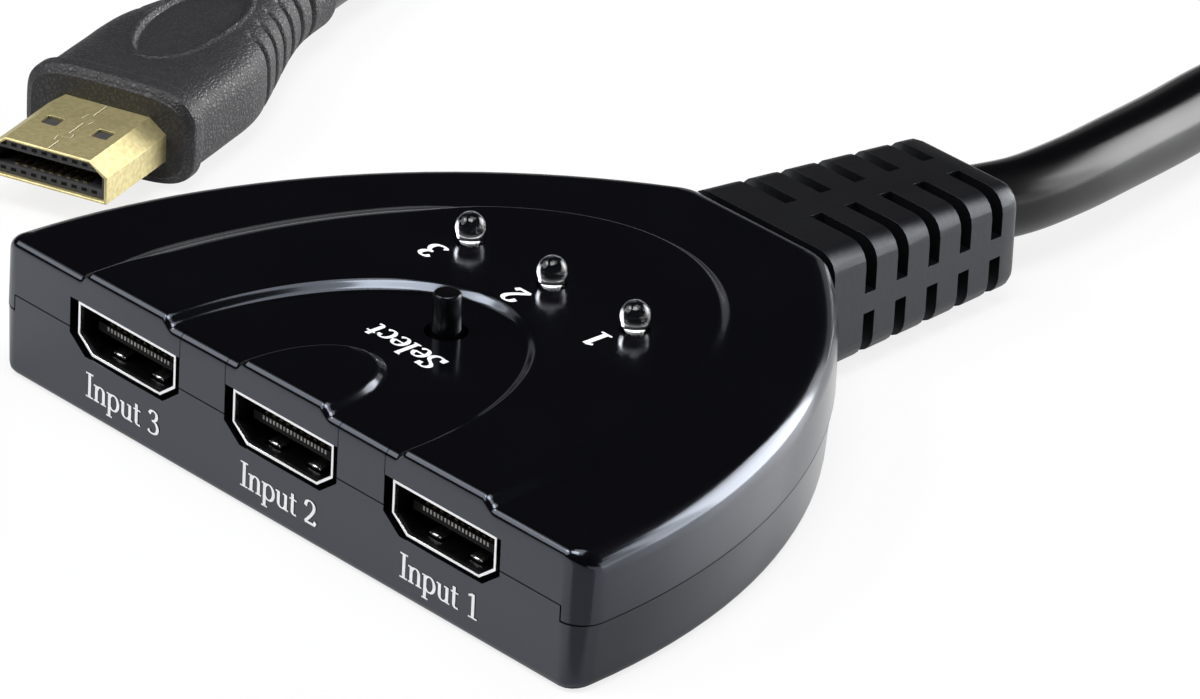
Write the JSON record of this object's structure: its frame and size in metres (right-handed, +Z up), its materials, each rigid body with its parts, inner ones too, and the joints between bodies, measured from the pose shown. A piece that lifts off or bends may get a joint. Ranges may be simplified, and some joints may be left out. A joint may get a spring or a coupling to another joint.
{
  "type": "video switch box",
  "caption": "Fan-shaped black video switch box with front ports, a select button, indicator lamps and a captive lead that ends in a plug.",
  "frame": {"origin": "middle of the underside of the case, with the lead, its strain relief and its plug left out", "axes": "+Z up, -Y out of the front face with the ports, +X towards input 1"},
  "size_m": [0.1369, 0.2645, 0.0188],
  "materials": {
    "case_black": "gloss",
    "button_black": "satin",
    "board_green": "satin",
    "port_steel": "satin",
    "insulator_black": "matte",
    "contact_gold": "satin",
    "chip_black": "matte",
    "tinned_metal": "satin",
    "passive_tan": "matte",
    "lamp_clear": "clear",
    "relief_black": "satin",
    "lead_black": "satin",
    "wire_white": "satin",
    "plug_gold": "satin",
    "hood_grey": "fine leather grain"
  },
  "bodies": {
    "case": {"upper_shell": "case_black", "lower_shell": "case_black", "main_board": "board_green", "port_shell_1": "port_steel", "port_shell_2": "port_steel", "port_shell_3": "port_steel", "port_insulator_1": "insulator_black", "port_insulator_2": "insulator_black", "port_insulator_3": "insulator_black", "port_contacts_1": "contact_gold", "port_contacts_2": "contact_gold", "port_contacts_3": "contact_gold", "switch_chip": "chip_black", "switch_chip_leads": "tinned_metal", "memory_chips": "chip_black", "board_passives": "passive_tan", "led_lens_1": "lamp_clear", "led_lens_2": "lamp_clear", "led_lens_3": "lamp_clear", "led_leads": "tinned_metal", "tact_base": "chip_black", "tact_cover": "tinned_metal", "tact_pins": "tinned_metal", "snap_dome": "tinned_metal", "case_screws": "tinned_metal", "strain_relief": "relief_black", "lead_wires": "wire_white", "pigtail_cord": "lead_black", "plug_shell": "plug_gold", "plug_insulator": "insulator_black", "plug_contacts": "contact_gold", "plug_hood": "hood_grey"},
    "button": {"select_button": "button_black"}
  },
  "joints": [
    {"name": "select_press", "type": "slide", "parent": "case", "child": "button", "axis": [0, 0, -1], "range_m": [0, 0.00025], "stiffness_N_per_m": 4000, "deforming": ["snap_dome"]}
  ]
}
